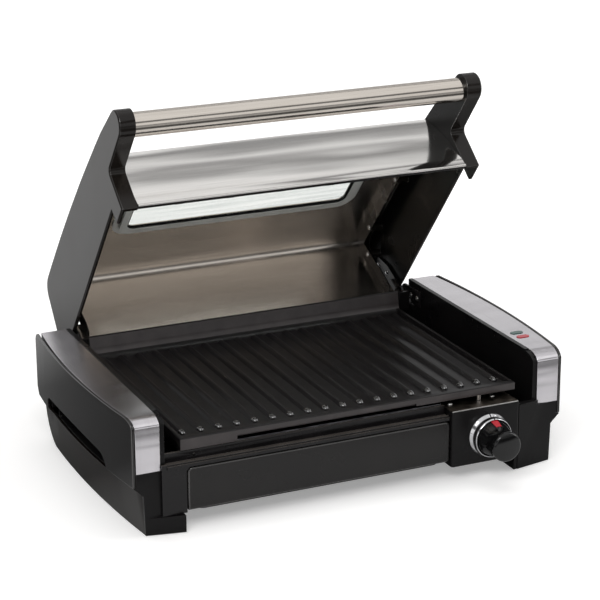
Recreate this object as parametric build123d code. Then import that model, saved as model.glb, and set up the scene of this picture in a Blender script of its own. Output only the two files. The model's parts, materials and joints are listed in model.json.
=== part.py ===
from build123d import *
import math
import os

# Electric indoor grill with a hinged lid, in millimetres.
# X runs to the right, Y to the back and Z up from the table; Y = 0 is the front of the two side pods.
# save() moves every part forward by middle_y, so that the origin is under the middle of the open grill.
# Parts of the lid are drawn closed, where their sizes are plain, and swing_open() turns them to the
# rest position, which is open.

middle_y = 141.6
open_angle = 50.6
hinge_y = 250.0
hinge_z = 92.0

# side pods, stainless strips and outer panels
pod_x = 178.0                         # inner faces of the two pods
pod_length = 246.0
pod_top = 105.8
strip_x = 182.3                       # inner edge of the stainless strip
strip_outer = (204.0, 213.5, 206.0)   # half widths at the front, at the widest place and at the back
panel_outer = (207.2, 216.7, 210.6)
widest_y = 112.0
strip_thickness = 1.0
strip_foot = 57.6                     # lower end of the strip on the front face
bend_depth = 16.5                     # the strip bends over the front edge on a quarter ellipse
bend_height = 8.3
wall = 2.5
panel_thickness = 2.6
panel_length = 251.0
panel_bottom = 45.5
panel_top = 106.2

# lower skirts and floor of the base
skirt_low = (197.0, 205.5, 202.0)
skirt_high = (198.0, 208.0, 204.5)
skirt_top = 36.6
flange_outer = (206.6, 216.1, 210.0)  # the skirts widen to here, just under the side panels
base_length = 247.5
floor_z = 13.5
floor_top = 16.0
foot_lift = 0.6                       # rubber pads stand this much below the moulding
foot_height = 16.0
foot_front = -7.0                     # front of the feet at their inner ends
rear_wall_x = 149.8
foot_places = ((-170, 30), (170, 30), (-170, 216), (170, 216))

# carry grips in both sides
grip_front = 52.0
grip_back = 208.0
grip_top = 59.0
grip_x = 187.0

# tray opening, crossbar, control box and dial
tray_left = -159.0
tray_right = 91.2
tray_low = 18.6
tray_high = 57.2
tray_face_y = -4.0
tray_depth = 225.0
crossbar_low = 58.4
crossbar_high = 62.6
crossbar_top = 61.2
box_left = 91.6
box_right = 160.0
box_front = -8.0
box_back = 60.0
box_low = 14.2
box_high = 67.2
knob_x = 128.8
knob_z = 40.1
knob_back = -8.6
knob_front = -42.6
ring_front = -18.2                    # the chrome ring is a tapered collar this far forward
ring_bore = 17.2
shaft_radius = 3.0
running_gap = 0.05
gland_x = 130.0
gland_z = 36.5
lamp_x = 194.2
lamp_places = (47.8, 59.2)

# sensing pin on the ledge over the control box
pin_x = 126.6
pin_y = 8.6
sensor_radius = 2.4
ledge_screws = ((97.6, 8.8), (141.9, 11.0))
spring_foot = 53.3
collar_z = 61.2

# grill plate
plate_x = 162.0
plate_front = 5.0
plate_back = 240.0
plate_bottom = 73.8
plate_valley = 76.5
rib_top = 79.8
rim_top = 80.9
rear_wall_top = 97.5
rib_pitch = 16.9
rib_count = 19
rib_start = 24.0
rib_end = 228.0
lug_bottom = 70.3
lug_reach = -110.0                    # the front left lug ends here, and
notch_right = 62.0                    # the thin part of the front rim here
notch_z = 76.1

# heating element and the pan under it
element_radius = 3.3
element_z = 66.4
pan_half = 152.0
pan_z = 57.0
pan_sheet = 0.8

# lid
cap_x = 174.3
cap_inner_x = 159.3
cap_wall = 3.3
cap_edge = 1.2                        # bevel round the outer face of a cap
rim_z = 97.6
hood_x = 159.1
sheet = 1.0
tube_radius = 11.0
tube_y = -18.5
tube_z = 137.1
horn_y = -21.0
horn_z = 136.6
horn_radius = 13.3
window_half = 113.6
window_front = 87.5
window_back = 182.5
window_corner = 8.0
frame_margin = 13.4
wing_x = 166.2                        # the hood's lower rear corners reach this far, between the caps
pin_radius = 3.0
arm_x = 168.5
arm_thickness = 2.0
arm_rivets = ((265.5, 136.5), (256.5, 120.3), (276.5, 118.5), (278.5, 104.0))
flange_places = ((60.5, 152.5), (150, 160.5), (235, 163.5), (259.5, 147.2))
bracket_x = 176.0
bracket_front = 218.0
bracket_rivets = (224.0, 237.0)


def save(node, shape):
    export_step(Pos(0, -middle_y, 0) * shape, f"parts/{node}.step")


def block(x, y, z):
    """Box between the given pairs of limits."""
    middle = ((x[0] + x[1]) / 2, (y[0] + y[1]) / 2, (z[0] + z[1]) / 2)
    return Pos(*middle) * Box(abs(x[1] - x[0]), abs(y[1] - y[0]), abs(z[1] - z[0]))


def rod(start, direction, radius, length):
    """Round bar from start along direction."""
    face = Plane(origin=start, z_dir=direction) * Circle(radius)
    return extrude(face, length)


def area(*points):
    """Flat face with straight sides through the given points."""
    return make_face(Polyline(*points, close=True))


def across(face, x0, x1):
    """Solid between x0 and x1 from a face drawn with (Y, Z) as its coordinates."""
    return extrude(Plane.YZ.offset(x0) * face, x1 - x0)


def mirrored(shape):
    return mirror(shape, about=Plane.YZ)


def both_sides(shape):
    return [shape, mirrored(shape)]


def swing_open(shape):
    """Turn a part of the closed lid about the hinge, to where it rests when open."""
    return shape.rotate(Axis((0, hinge_y, hinge_z), (1, 0, 0)), -open_angle)


def wider(outer_x, extra):
    return tuple(x + extra for x in outer_x)


def bowed_face(inner_x, outer_x, y, z):
    """Level face with a straight inner side and an outer side bowed through three half widths."""
    bow = ThreePointArc((outer_x[0], y[0]), (outer_x[1], widest_y), (outer_x[2], y[1]))
    front = Line((inner_x, y[0]), (outer_x[0], y[0]))
    back = Line((outer_x[2], y[1]), (inner_x, y[1]))
    inside = Line((inner_x, y[1]), (inner_x, y[0]))
    return Pos(0, 0, z) * make_face([front, bow, back, inside])


def bowed_block(inner_x, outer_x, y, z):
    return extrude(bowed_face(inner_x, outer_x, y, z[0]), z[1] - z[0])


def flared_wall(low, high, z):
    """Side and rear wall of the base whose bowed plan changes evenly from low to high."""
    y = (wall + 0.1, base_length)
    y_inside = (y[0] - 1, y[1] - wall)
    outside = loft([bowed_face(150, low, y, z[0]), bowed_face(150, high, y, z[1])])
    low_inside = bowed_face(149, wider(low, -wall), y_inside, z[0])
    high_inside = bowed_face(149, wider(high, -wall), y_inside, z[1])
    return outside - loft([low_inside, high_inside])


def front_bend(length, low, high, inset=0.0):
    """Side view of a pod: level top, front edge bent over on a quarter ellipse."""
    bend_z = high - bend_height
    return make_face([
        EllipticalCenterArc(
            (bend_depth, bend_z), bend_depth - inset, bend_height - inset, start_angle=90, arc_size=90),
        Line((length, high - inset), (bend_depth, high - inset)),
        Line((inset, bend_z), (inset, low)),
        Line((inset, low), (length, low)),
        Line((length, low), (length, high - inset)),
    ])


def screw(start, direction, radius=2.6, height=1.6, shank=1.5, length=6.0):
    """Domed screw head on the face at start, with a cross recess and a shank going into the face."""
    face = make_face([
        Line((0, height), (radius * 0.35, height)),
        ThreePointArc((radius * 0.35, height), (radius * 0.8, height * 0.72), (radius, 0)),
        Line((radius, 0), (0, 0)),
        Line((0, 0), (0, height)),
    ])
    head = revolve(Plane.XZ * face, Axis.Z)
    cross = Pos(0, 0, height) * (Box(radius * 1.1, 0.5, 1.2) + Box(0.5, radius * 1.1, 1.2))
    stem = Pos(0, 0, -length / 2) * Cylinder(shank, length)
    return Plane(origin=start, z_dir=direction) * (head - cross + stem)


def rivet(start, direction, radius=2.8, height=1.2, shank=1.5, length=3.0):
    """Domed rivet head with its shank."""
    face = make_face([
        ThreePointArc((0, height), (radius * 0.7, height * 0.7), (radius, 0)),
        Line((radius, 0), (0, 0)),
        Line((0, 0), (0, height)),
    ])
    stem = Pos(0, 0, -length / 2) * Cylinder(shank, length)
    return Plane(origin=start, z_dir=direction) * (revolve(Plane.XZ * face, Axis.Z) + stem)


# ---------------------------------------------------------------- base

def heel_room():
    """Everything above and in front of the rounded lower rear edge of the base."""
    low = foot_lift
    outline = make_face([
        Line((-5, low), (213, low)),
        ThreePointArc((213, low), (238, 9), (base_length, 33)),
        Line((base_length, 33), (base_length, 60)),
        Line((base_length, 60), (-5, 60)),
        Line((-5, 60), (-5, low)),
    ])
    return across(outline, -230, 230)


def skirt():
    """Right skirt: bowed wall down to the table, flaring out to the side panel except at the grip."""
    wall_low = flared_wall(skirt_low, skirt_high, (foot_lift, skirt_top))
    flange = flared_wall(skirt_high, flange_outer, (skirt_top, panel_bottom - 0.5))
    gap = block((140, 230), (40, 214), (skirt_top, 60))
    return (wall_low + (flange - gap)) & heel_room()


def rear_wall():
    """Low rear wall between the two skirts, with the hole of the cord gland."""
    z = (24.5, panel_bottom - 0.5)
    shape = block((-rear_wall_x, rear_wall_x), (base_length - wall, base_length), z) & heel_room()
    return shape - rod((gland_x, base_length + 5, gland_z), (0, -1, 0), 5.1, 12)


def base_pan():
    """Moulded floor with its rounded heel, the bosses of the feet and the guides of the tray."""
    low = foot_lift
    inside = wider(skirt_low, -wall - 0.2)
    floor = bowed_block(0, inside, (wall + 0.1, base_length - 3), (floor_z, floor_top))
    floor = floor + mirrored(floor) - block((-230, 230), (0, 18), (0, 30))
    floor = floor - block((box_left - 0.4, box_right + 0.4), (17, box_back + 0.6), (0, 30))
    guide_z = (floor_top, floor_top + 2.4)
    guides = block((-154.5, -152), (18, 225), guide_z) + block((86.5, 89), (62, 225), guide_z)
    heel = make_face([
        ThreePointArc((213, low), (238, 9), (base_length, 33)),
        Line((base_length, 33), (base_length - wall, 33)),
        ThreePointArc((base_length - wall, 33), (236.2, 10.8), (213, low + wall)),
        Line((213, low + wall), (213, low)),
    ])
    heel = across(heel, -199, 199) - block((-230, 230), (200, 260), (24.4, 40))
    for corner in both_sides(block((rear_wall_x, 230), (base_length - wall - 0.2, 260), (0, 60))):
        heel = heel - corner
    shape = (floor & heel_room()) + heel + guides
    for x, y in foot_places:
        shape = shape + rod((x, y, low), (0, 0, 1), 9, floor_z - low + 0.5)
    for x, y in foot_places:
        shape = shape - rod((x, y, 0), (0, 0, 1), 7, 3)
    return shape


def foot_pads():
    """Rubber pads, let into bosses under the four corners."""
    pads = []
    for x, y in foot_places:
        pad = rod((x, y, 0), (0, 0, 1), 6.9, 2.9)
        pads.append(chamfer(pad.edges().group_by(Axis.Z)[0], 0.5))
    return Compound(pads)


def pod_housing():
    """Right pod: hollow moulding under the strip, with its front face and the tub of the carry grip."""
    low = panel_bottom + 0.5
    top = pod_top - strip_thickness
    outside = bowed_block(pod_x, strip_outer, (0, pod_length), (low, pod_top))
    shape = outside & across(front_bend(pod_length, low, pod_top, strip_thickness), 150, 230)
    room_y = (strip_thickness + wall, pod_length - wall)
    shape = shape - bowed_block(pod_x + wall, wider(strip_outer, -wall), room_y, (low - 1, top - wall))
    shape = shape + block((pod_x, strip_x - 0.2), (bend_depth, pod_length), (top - 1, pod_top + 0.4))
    shape = shape + block((pod_x, pod_x + wall), (wall, base_length - 8.5), (floor_top + 0.1, low + 1))
    face = area(
        (pod_x, foot_lift), (skirt_low[0], foot_lift), (skirt_high[0], skirt_top),
        (flange_outer[0], panel_bottom - 0.5), (strip_outer[0], panel_bottom - 0.5),
        (strip_outer[0], strip_foot - 0.1), (pod_x, strip_foot - 0.1))
    shape = shape + extrude(Plane.XZ * face, -wall)
    span = block((150, 230), (grip_front - 1, grip_back + 1), (0, 100))
    whole = (0, base_length)
    niche = bowed_block(grip_x - wall, wider(strip_outer, -0.3), whole, (panel_bottom + 1, grip_top + 4.5))
    tub = bowed_block(grip_x - wall, wider(skirt_high, -3.2), whole, (skirt_top - wall, panel_bottom + 1))
    room = block((grip_x, 230), (grip_front + 1.5, grip_back - 1.5), (skirt_top, grip_top + 2))
    return shape + ((niche + tub) & span) - room


def swept_front(inner_x, z):
    """Solid front whose face runs back evenly towards the outer corner of the pod."""
    outline = area((inner_x, foot_front), (skirt_low[0], 0), (skirt_low[0], 1), (inner_x, 1))
    return Pos(0, 0, z[0]) * extrude(outline, z[1] - z[0])


def pod_foot(inner_x, height):
    """Front foot, swept back towards the outer corner and hollow from below."""
    back = block((inner_x, pod_x + 1), (0, 17.5), (foot_lift, floor_z - 0.2))
    hollow = block((inner_x + wall, pod_x - 1), (2, 15), (0, floor_z - wall))
    return swept_front(inner_x, (foot_lift, height)) + (back - hollow)


def pod_apron():
    """Front of the right pod between the strip and the foot, flush with it, beside the control box."""
    full = swept_front(box_right + 0.3, (foot_lift, strip_foot - 0.2))
    upper = swept_front(box_right + 0.3, (foot_lift, crossbar_high))
    return full + (upper & block((150, strip_x - 0.2), (-20, 20), (0, 100)))


def side_panel():
    """Right gloss panel: a bowed shell with rounded corners and an arched cut over the carry grip."""
    z = (panel_bottom, panel_top)
    inner = wider(panel_outer, -panel_thickness)
    shell = bowed_block(150, panel_outer, (0, panel_length), z)
    shell = shell - bowed_block(149, inner, (-1, panel_length + 1), z)
    corner = 9.0
    cut = corner * (1 - math.sin(math.pi / 4))
    back = panel_length
    outline = make_face([
        Line((0, panel_bottom), (0, panel_top - bend_height)),
        EllipticalCenterArc(
            (bend_depth, panel_top - bend_height), bend_depth, bend_height, start_angle=90, arc_size=90),
        Line((bend_depth, panel_top), (back - corner, panel_top)),
        ThreePointArc((back - corner, panel_top), (back - cut, panel_top - cut), (back, panel_top - corner)),
        Line((back, panel_top - corner), (back, panel_bottom + 7)),
        Line((back, panel_bottom + 7), (back - 7, panel_bottom)),
        Line((back - 7, panel_bottom), (grip_back, panel_bottom)),
        Line((grip_back, panel_bottom), (grip_back, grip_top - 6)),
        ThreePointArc((grip_back, grip_top - 6), (grip_back - 2.5, grip_top - 3), (grip_back - 6, grip_top - 1.5)),
        ThreePointArc((grip_back - 6, grip_top - 1.5), (130, grip_top + 1), (grip_front + 14, grip_top - 2)),
        ThreePointArc(
            (grip_front + 14, grip_top - 2), (grip_front + 4, grip_top - 6.5), (grip_front, panel_bottom + 1)),
        Line((grip_front, panel_bottom + 1), (grip_front, panel_bottom)),
        Line((grip_front, panel_bottom), (0, panel_bottom)),
    ])
    return shell & across(outline, 150, 230)


def side_strip():
    """Right brushed strip: flat on top, bent over the front edge and down the front face."""
    view = front_bend(pod_length, strip_foot, pod_top)
    view = view - front_bend(pod_length + 1, strip_foot - 1, pod_top, strip_thickness)
    plan = bowed_block(strip_x, strip_outer, (0, pod_length), (strip_foot - 1, pod_top + 1))
    return plan & across(view, 150, 230)


def front_frame():
    """Bezel of the tray: left upright, crossbar above the tray and an upturned lip behind it."""
    left = tray_left - 0.7
    right = box_left - 0.3
    outline = area(
        (-strip_x + 0.2, foot_height + 0.3), (left, foot_height + 0.3), (left, crossbar_low - 4),
        (left + 4, crossbar_low), (right, crossbar_low), (right, crossbar_high), (-strip_x + 0.2, crossbar_high))
    upright = Pos(0, -0.1, 0) * extrude(Plane.XZ * outline, 2.5)
    shelf = block((-pod_x + 0.7, right), (tray_face_y, 8), (crossbar_low, crossbar_top))
    lip = block((-pod_x + 0.7, right - 0.8), (5.5, 8), (crossbar_low, 69.5))
    return upright + shelf + lip


def frame_screw():
    """Small screw through the upturned lip, near its left end."""
    return screw((-150, 5.5, 65.4), (0, -1, 0), 1.6, 1.0, 0.9, 2.4)


def control_box():
    """Housing of the thermostat, open at the back."""
    shape = block((box_left, box_right), (box_front, box_back), (box_low, box_high))
    shape = fillet(shape.edges().filter_by(Axis.Z).group_by(Axis.Y)[0], 2.5)
    room_x = (box_left + wall, box_right - wall)
    shape = shape - block(room_x, (box_front + wall, box_back + 1), (box_low + wall, box_high - wall))
    shape = shape - block((box_left - 1, 146), (39, box_back + 1), (62.5, box_high + 1))
    shape = shape - rod((knob_x, box_front - 1, knob_z), (0, 1, 0), 5, wall + 2)
    return shape - rod((pin_x, pin_y, box_high - 5), (0, 0, 1), sensor_radius + 0.5, 8)


def ledge():
    """Bright steel ledge over the control box, with a hole for the sensing pin."""
    z = (box_high + 0.1, box_high + 1.2)
    shape = block((box_left - 0.6, box_right - 2.2), (box_front - 0.6, 16), z)
    return shape - rod((pin_x, pin_y, box_high - 5), (0, 0, 1), sensor_radius + 0.5, 10)


def ledge_screw_set():
    return Compound([screw((x, y, box_high + 1.2), (0, 0, 1), 2.6, 1.6, 1.5, 3.4) for x, y in ledge_screws])


def reflector():
    """Thin pan under the element, with an open slot at the front that lets grease into the tray."""
    high = lug_bottom - 0.1
    skin = pan_sheet
    shape = block((-pan_half, pan_half), (9, 236), (pan_z, high))
    shape = shape - block((-pan_half + skin, pan_half - skin), (9 + skin, 236 - skin), (pan_z + skin, high + 1))
    shape = shape - block((box_left - 3, pan_half + 1), (8, box_back + 4), (pan_z - 1, high + 1))
    return shape - block((-75, 75), (13, 34), (pan_z - 1, pan_z + 2))


def heating_element():
    """Round tube bent into a flat serpentine, with both ends turned down into the control box."""
    z = element_z
    front = 76
    back = 212
    ends = 42.0
    route = [
        (104, 54, ends), (104, 54, z), (96, 44, z), (-138, 44, z), (-138, back, z), (-69, back, z),
        (-69, front, z), (0, front, z), (0, back, z), (69, back, z), (69, front, z), (138, front, z),
        (140, 54, z), (140, 54, ends)]
    path = FilletPolyline(*route, radius=[5, 5, 20, 20, 20, 20, 20, 20, 20, 20, 12, 8])
    start = Plane(origin=path @ 0, z_dir=path % 0)
    return sweep(start * Circle(element_radius), path=path)


def element_clips():
    """Saddles that hold the element on the floor of the reflector."""
    clips = []
    for x, y in ((-138, 120), (-69, 150), (0, 150), (69, 150)):
        clip = block((x - 6, x + 6), (y - 4, y + 4), (pan_z + pan_sheet + 0.1, element_z + element_radius + 0.8))
        clips.append(clip - rod((x, y - 5, element_z), (0, 1, 0), element_radius + 0.05, 10))
    return Compound(clips)


def thermostat():
    """Switch body behind the dial, with the bore that carries the shaft."""
    body = block((knob_x - 17, knob_x + 17), (0, 22), (knob_z - 13, knob_z + 13))
    body = chamfer(body.edges().filter_by(Axis.Y), 3)
    nose = rod((knob_x, box_front + wall + 0.1, knob_z), (0, 1, 0), 7, 6)
    tabs = block((knob_x - 20, knob_x + 20), (22, 23), (knob_z - 5, knob_z + 5))
    shape = body + nose + tabs
    for x in (knob_x - 10, knob_x + 10):
        shape = shape + block((x - 3, x + 3), (23, 31), (knob_z - 0.4, knob_z + 0.4))
    return shape - rod((knob_x, -20, knob_z), (0, 1, 0), shaft_radius + running_gap, 38)


def thermal_fuse():
    """Sealed cutout clipped under the reflector."""
    can = rod((118, 84, 53), (1, 0, 0), 3.6, 18)
    saddle = block((123, 131), (79, 89), (55.4, pan_z - 0.1))
    leads = rod((110, 84, 53), (1, 0, 0), 0.6, 34)
    return can + saddle + leads


def terminal_block():
    shape = block((110, 150), (150, 166), (floor_top + 0.1, 29))
    shape = chamfer(shape.edges().filter_by(Axis.Y), 1.0)
    for x in (118, 130, 142):
        shape = shape - rod((x, 158, 24.5), (0, 0, 1), 2.4, 10)
    return shape


def wiring():
    """Three leads from the rear wall to the terminal block, and on into the control box."""
    wires = []
    for k in range(3):
        behind = gland_x - 4 + 4 * k
        at = 118 + 12 * k
        paths = [
            FilletPolyline(
                (behind, 239, gland_z), (behind, 210, gland_z), (at, 180, 22), (at, 166.2, 22), radius=[8, 8]),
            FilletPolyline((at, 149.8, 22), (at, 120, 22), (at, 96, 34), (at, 36, 34), radius=[12, 12]),
        ]
        for path in paths:
            start = Plane(origin=path @ 0, z_dir=path % 0)
            wires.append(sweep(start * Circle(1.2), path=path))
    return Compound(wires)


def cord_gland():
    """Grommet in the rear wall, where a power cord would enter."""
    outer = (gland_x, base_length + 2.2, gland_z)
    ring = rod(outer, (0, -1, 0), 8, 2.1)
    sleeve = rod(outer, (0, -1, 0), 5.0, 8)
    return ring + sleeve - rod((gland_x, base_length + 3, gland_z), (0, -1, 0), 3.6, 12)


def rear_cover():
    """Upper rear wall between the pods, with cooling slots and a guard in front of each hinge."""
    shape = block((-pod_x + 0.3, pod_x - 0.3), (243.2, 246.8), (panel_bottom - 0.2, 80))
    for k in range(-6, 7):
        shape = shape - block((k * 22 - 7, k * 22 + 7), (240, 250), (66, 69))
    guard_x = (plate_x + 0.6, bracket_x - 1.6)
    guard = block(guard_x, (236.9, 244), (77, 80)) + block(guard_x, (236.9, 240.1), (77, rim_z - 1.4))
    return shape + guard + mirrored(guard)


def lamp_lens(y):
    """Small oval lens let across the strip."""
    return Pos(lamp_x, y, pod_top - 3.5) * extrude(SlotOverall(12.5, 6.2), 4.0)


def lamp_holder():
    """Carrier of the two lamps, on the pod's inner wall."""
    shape = block((pod_x + wall, 202), (38, 68), (88, 99))
    for y in lamp_places:
        shape = shape - rod((lamp_x, y, 92), (0, 0, 1), 3.1, 10)
    return shape


def lamps():
    return Compound([rod((lamp_x, y, 92.2), (0, 0, 1), 3.0, 9) for y in lamp_places])


def hinge_bracket():
    """Steel plate on the pod's inner wall, whose ear carries the pin behind the pod."""
    ear = Pos(hinge_y, hinge_z) * Circle(8)
    strap = Pos((bracket_front + hinge_y) / 2, hinge_z) * Rectangle(hinge_y - bracket_front, 16)
    shape = across(ear + strap, bracket_x, pod_x)
    return shape - rod((bracket_x - 1, hinge_y, hinge_z), (1, 0, 0), pin_radius, 5)


def bracket_rivet_set():
    """Rivets that hold both hinge brackets to the pods."""
    heads = []
    for y in bracket_rivets:
        heads += both_sides(rivet((bracket_x, y, hinge_z), (-1, 0, 0), 2.8, 1.1, 1.5, 4.0))
    return Compound(heads)


def hinge_pin():
    """Headed pin from the ear inwards through the lid's arm."""
    inner = arm_x - 0.3
    shank = rod((inner, hinge_y, hinge_z), (1, 0, 0), pin_radius, pod_x - inner)
    shoulder = rod((bracket_x - 1.4, hinge_y, hinge_z), (1, 0, 0), 4.6, 1.4)
    head = rod((inner - 1.6, hinge_y, hinge_z), (1, 0, 0), 5, 1.6)
    head = chamfer(head.edges().group_by(Axis.X)[0], 0.7)
    return shank + shoulder + head


# ---------------------------------------------------------------- grill plate

def grill_plate():
    """Cast plate: raised rim, lugs under three corners, tall coved rear wall leaning back, ribs along Y."""
    x = (-plate_x, plate_x)
    slab = block(x, (plate_front, plate_back), (plate_bottom, plate_valley))
    rim = block(x, (plate_front, plate_back), (plate_valley - 0.5, rim_top))
    rim = chamfer(rim.edges().group_by(Axis.Z)[-1], 0.8)
    rim = rim - block((-plate_x + 3.4, plate_x - 3.4), (plate_front + 5, plate_back - 4), (70, 90))
    back = plate_back
    rear = make_face([
        ThreePointArc(
            (back - 13, plate_valley), (back - 6.4, plate_valley + 3.2), (back - 3.6, plate_valley + 10)),
        Line((back - 3.6, plate_valley + 10), (back - 1.7, rear_wall_top - 0.8)),
        Line((back - 1.7, rear_wall_top - 0.8), (back - 1.1, rear_wall_top)),
        Line((back - 1.1, rear_wall_top), (back, rear_wall_top)),
        Line((back, rear_wall_top), (back, plate_valley - 1)),
        Line((back, plate_valley - 1), (back - 13, plate_valley - 1)),
        Line((back - 13, plate_valley - 1), (back - 13, plate_valley)),
    ])
    shape = slab + rim + across(rear, *x)
    shape = shape - block((lug_reach, notch_right), (0, plate_front + 3), (70, notch_z))
    left = (-plate_x, lug_reach)
    right = (notch_right, plate_x)
    lug_z = (lug_bottom, plate_bottom + 1)
    shape = shape + block(left, (plate_front, plate_front + 7), lug_z)
    for span in (left, right):
        shape = shape + block(span, (plate_back - 11, plate_back), lug_z)
    foot_z = plate_valley - 0.4
    profile = make_face([
        Line((-3.6, foot_z), (3.6, foot_z)),
        Line((3.6, foot_z), (1.9, rib_top - 0.9)),
        ThreePointArc((1.9, rib_top - 0.9), (0, rib_top), (-1.9, rib_top - 0.9)),
        Line((-1.9, rib_top - 0.9), (-3.6, foot_z)),
    ])
    rib = extrude(Plane.XZ.offset(-rib_start) * profile, rib_start - rib_end)
    low_z = foot_z - 1
    high_z = rib_top + 0.1
    ends = area((rib_start, low_z), (rib_end, low_z), (rib_end - 3, high_z), (rib_start + 3, high_z))
    rib = rib & across(ends, -8, 8)
    first = -rib_pitch * (rib_count - 1) / 2
    for k in range(rib_count):
        shape = shape + Pos(first + k * rib_pitch, 0, 0) * rib
    for x in (-rib_pitch * 1.5, rib_pitch * 1.5):
        shape = shape - Pos(x, 17, 60) * extrude(SlotOverall(26, 6), 30)
    return shape


# ---------------------------------------------------------------- lid, drawn closed

def cap_outline():
    """Side view of an end cap: horn at the front, low arch on top, open rim below, short front tab."""
    joint = math.radians(103)
    horn_top = (horn_y + horn_radius * math.cos(joint), horn_z + horn_radius * math.sin(joint))
    horn_low = horn_z - horn_radius
    return make_face([
        Line((25.8, 81.8), (26.0, 117.5)),
        ThreePointArc((26.0, 117.5), (24.6, 121.4), (20.5, horn_low)),
        Line((20.5, horn_low), (horn_y, horn_low)),
        ThreePointArc((horn_y, horn_low), (horn_y - horn_radius, horn_z), horn_top),
        Line(horn_top, (13.7, 157.0)),
        ThreePointArc((13.7, 157.0), (143.8, 170.2), (262.0, 174.5)),
        ThreePointArc((262.0, 174.5), (274.3, 170.0), (280.0, 157.0)),
        Line((280.0, 157.0), (291.9, 100.0)),
        ThreePointArc((291.9, 100.0), (291.3, 98.3), (289.6, rim_z)),
        Line((289.6, rim_z), (48.5, rim_z)),
        Line((48.5, rim_z), (48.5, 84.3)),
        ThreePointArc((48.5, 84.3), (47.8, 82.5), (46.0, 81.8)),
        Line((46.0, 81.8), (25.8, 81.8)),
    ])


def end_cap():
    """Right end cap: moulded shell, open to the inside, with screw bosses and a spigot for the tube."""
    shape = across(cap_outline(), cap_inner_x, cap_x - cap_edge)
    shape = shape + extrude(Plane.YZ.offset(cap_x - cap_edge) * cap_outline(), cap_edge, taper=45)
    cavity = make_face([
        Line((29.6, 75), (29.6, 93)),
        Line((29.6, 93), (40.5, 104)),
        ThreePointArc((40.5, 104), (50, 134), (66, 156.5)),
        ThreePointArc((66, 156.5), (143.8, 165.4), (260, 169.9)),
        ThreePointArc((260, 169.9), (270.6, 166.5), (275.5, 156.0)),
        Line((275.5, 156.0), (288.2, 95)),
        Line((288.2, 95), (288.2, 75)),
        Line((288.2, 75), (29.6, 75)),
    ])
    shape = shape - across(cavity, cap_inner_x - 1, cap_x - cap_wall)
    for y, z in flange_places:
        shape = shape + rod((cap_inner_x, y, z), (1, 0, 0), 4, 13)
    return shape + rod((cap_inner_x + 1, tube_y, tube_z), (-1, 0, 0), tube_radius - 1.6, 13)


def hood_profile(inset=0.0):
    """The area inside the hood's outer skin, drawn in by inset."""
    face = make_face([
        ThreePointArc((24.3, 82.6), (34.9, 122.2), (54.1, 159.7)),
        ThreePointArc((54.1, 159.7), (56.6, 162.0), (60.0, 163.2)),
        ThreePointArc((60.0, 163.2), (150.0, 168.8), (262.0, 172.2)),
        ThreePointArc((262.0, 172.2), (269.1, 168.6), (270.7, 161.0)),
        Line((270.7, 161.0), (251.7, 87.0)),
        Line((251.7, 87.0), (24.3, 82.6)),
    ])
    return offset(face, -inset) if inset else face


def window_plane(depth=0.0):
    """Plane of the window, just under the hood's top skin, depth below it."""
    front = (74.0, 164.2 - sheet)
    back = (196.0, 170.7 - sheet)
    slope = math.atan2(back[1] - front[1], back[0] - front[0])
    normal = Vector(0, -math.sin(slope), math.cos(slope))
    middle = Vector(0, (front[0] + back[0]) / 2, (front[1] + back[1]) / 2)
    return Plane(origin=middle - normal * depth, x_dir=(1, 0, 0), z_dir=normal)


def window_slab(extra, corner, depth, thickness):
    """Rounded slab parallel to the window, extra wider all round; depth is to its upper face."""
    length = window_back - window_front + 2 * extra
    face = window_plane(depth + thickness) * RectangleRounded(2 * (window_half + extra), length, corner)
    return extrude(face, thickness)


def hood():
    """Brushed sheet bent over the front, top and back, with a beaded front edge and the window opening."""
    cover = hood_profile() - hood_profile(sheet)
    opening = area((25.4, 78), (25.6, 84.3), (251.1, 88.6), (248.9, 80))
    skin = across(cover - opening, -hood_x, hood_x) - window_slab(0, window_corner, -8, 14)
    bead = rod((-hood_x, 24.9, 83.3), (1, 0, 0), 1.3, 2 * hood_x)
    wing = across(cover - opening, hood_x - 1, wing_x) & block((150, 170), (245, 275), (80, 113))
    return skin + bead + wing + mirrored(wing)


def end_flange():
    """Coated angle plate inside the right end of the hood, screwed to the end cap."""
    band = hood_profile(sheet + 0.1) - hood_profile(12)
    chin = area(
        (0, 60), (330, 60), (330, 89), (251.8, 89), (244, 96.5), (244, 111.2), (38, 97), (0, 97))
    return across(band - chin, hood_x - sheet - 0.1, hood_x)


def front_hem():
    """Rolled stiffener along the hood's lower front edge, with a row of small tabs."""
    x = (-hood_x + 0.4, hood_x - 0.4)
    roll = rod((x[0], 28.0, 83.4), (1, 0, 0), 1.35, x[1] - x[0])
    lip = block(x, (27.9, 28.8), (83.4, 91)).rotate(Axis((0, 27.9, 83.4), (1, 0, 0)), -13.5)
    shape = roll + lip
    for k in range(6):
        middle = -120 + 48 * k
        shape = shape + block((middle - 4, middle + 4), (27.8, 31.0), (83.6, 85.0))
    return shape


def window_glass():
    return window_slab(4.5, window_corner + 4, 0.9, 2.6)


def window_gasket():
    """Heat-resistant channel round the edge of the glass, standing a little into the opening."""
    channel = window_slab(5.5, window_corner + 5, 0.3, 3.9) - window_slab(4.6, window_corner + 4, 0.8, 2.8)
    return channel - window_slab(-1, window_corner - 1, -1, 12)


def window_frame():
    """Pressed steel ring inside the lid that clamps the glass and its gasket."""
    flange = window_slab(frame_margin, window_corner + 10, 0.3, 1.2)
    raised = window_slab(7.4, window_corner + 6, 0.3, 5.2)
    seat = window_slab(5.8, window_corner + 5, -1, 5.4)
    return flange + raised - seat - window_slab(0.6, window_corner + 1, -1, 12)


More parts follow.
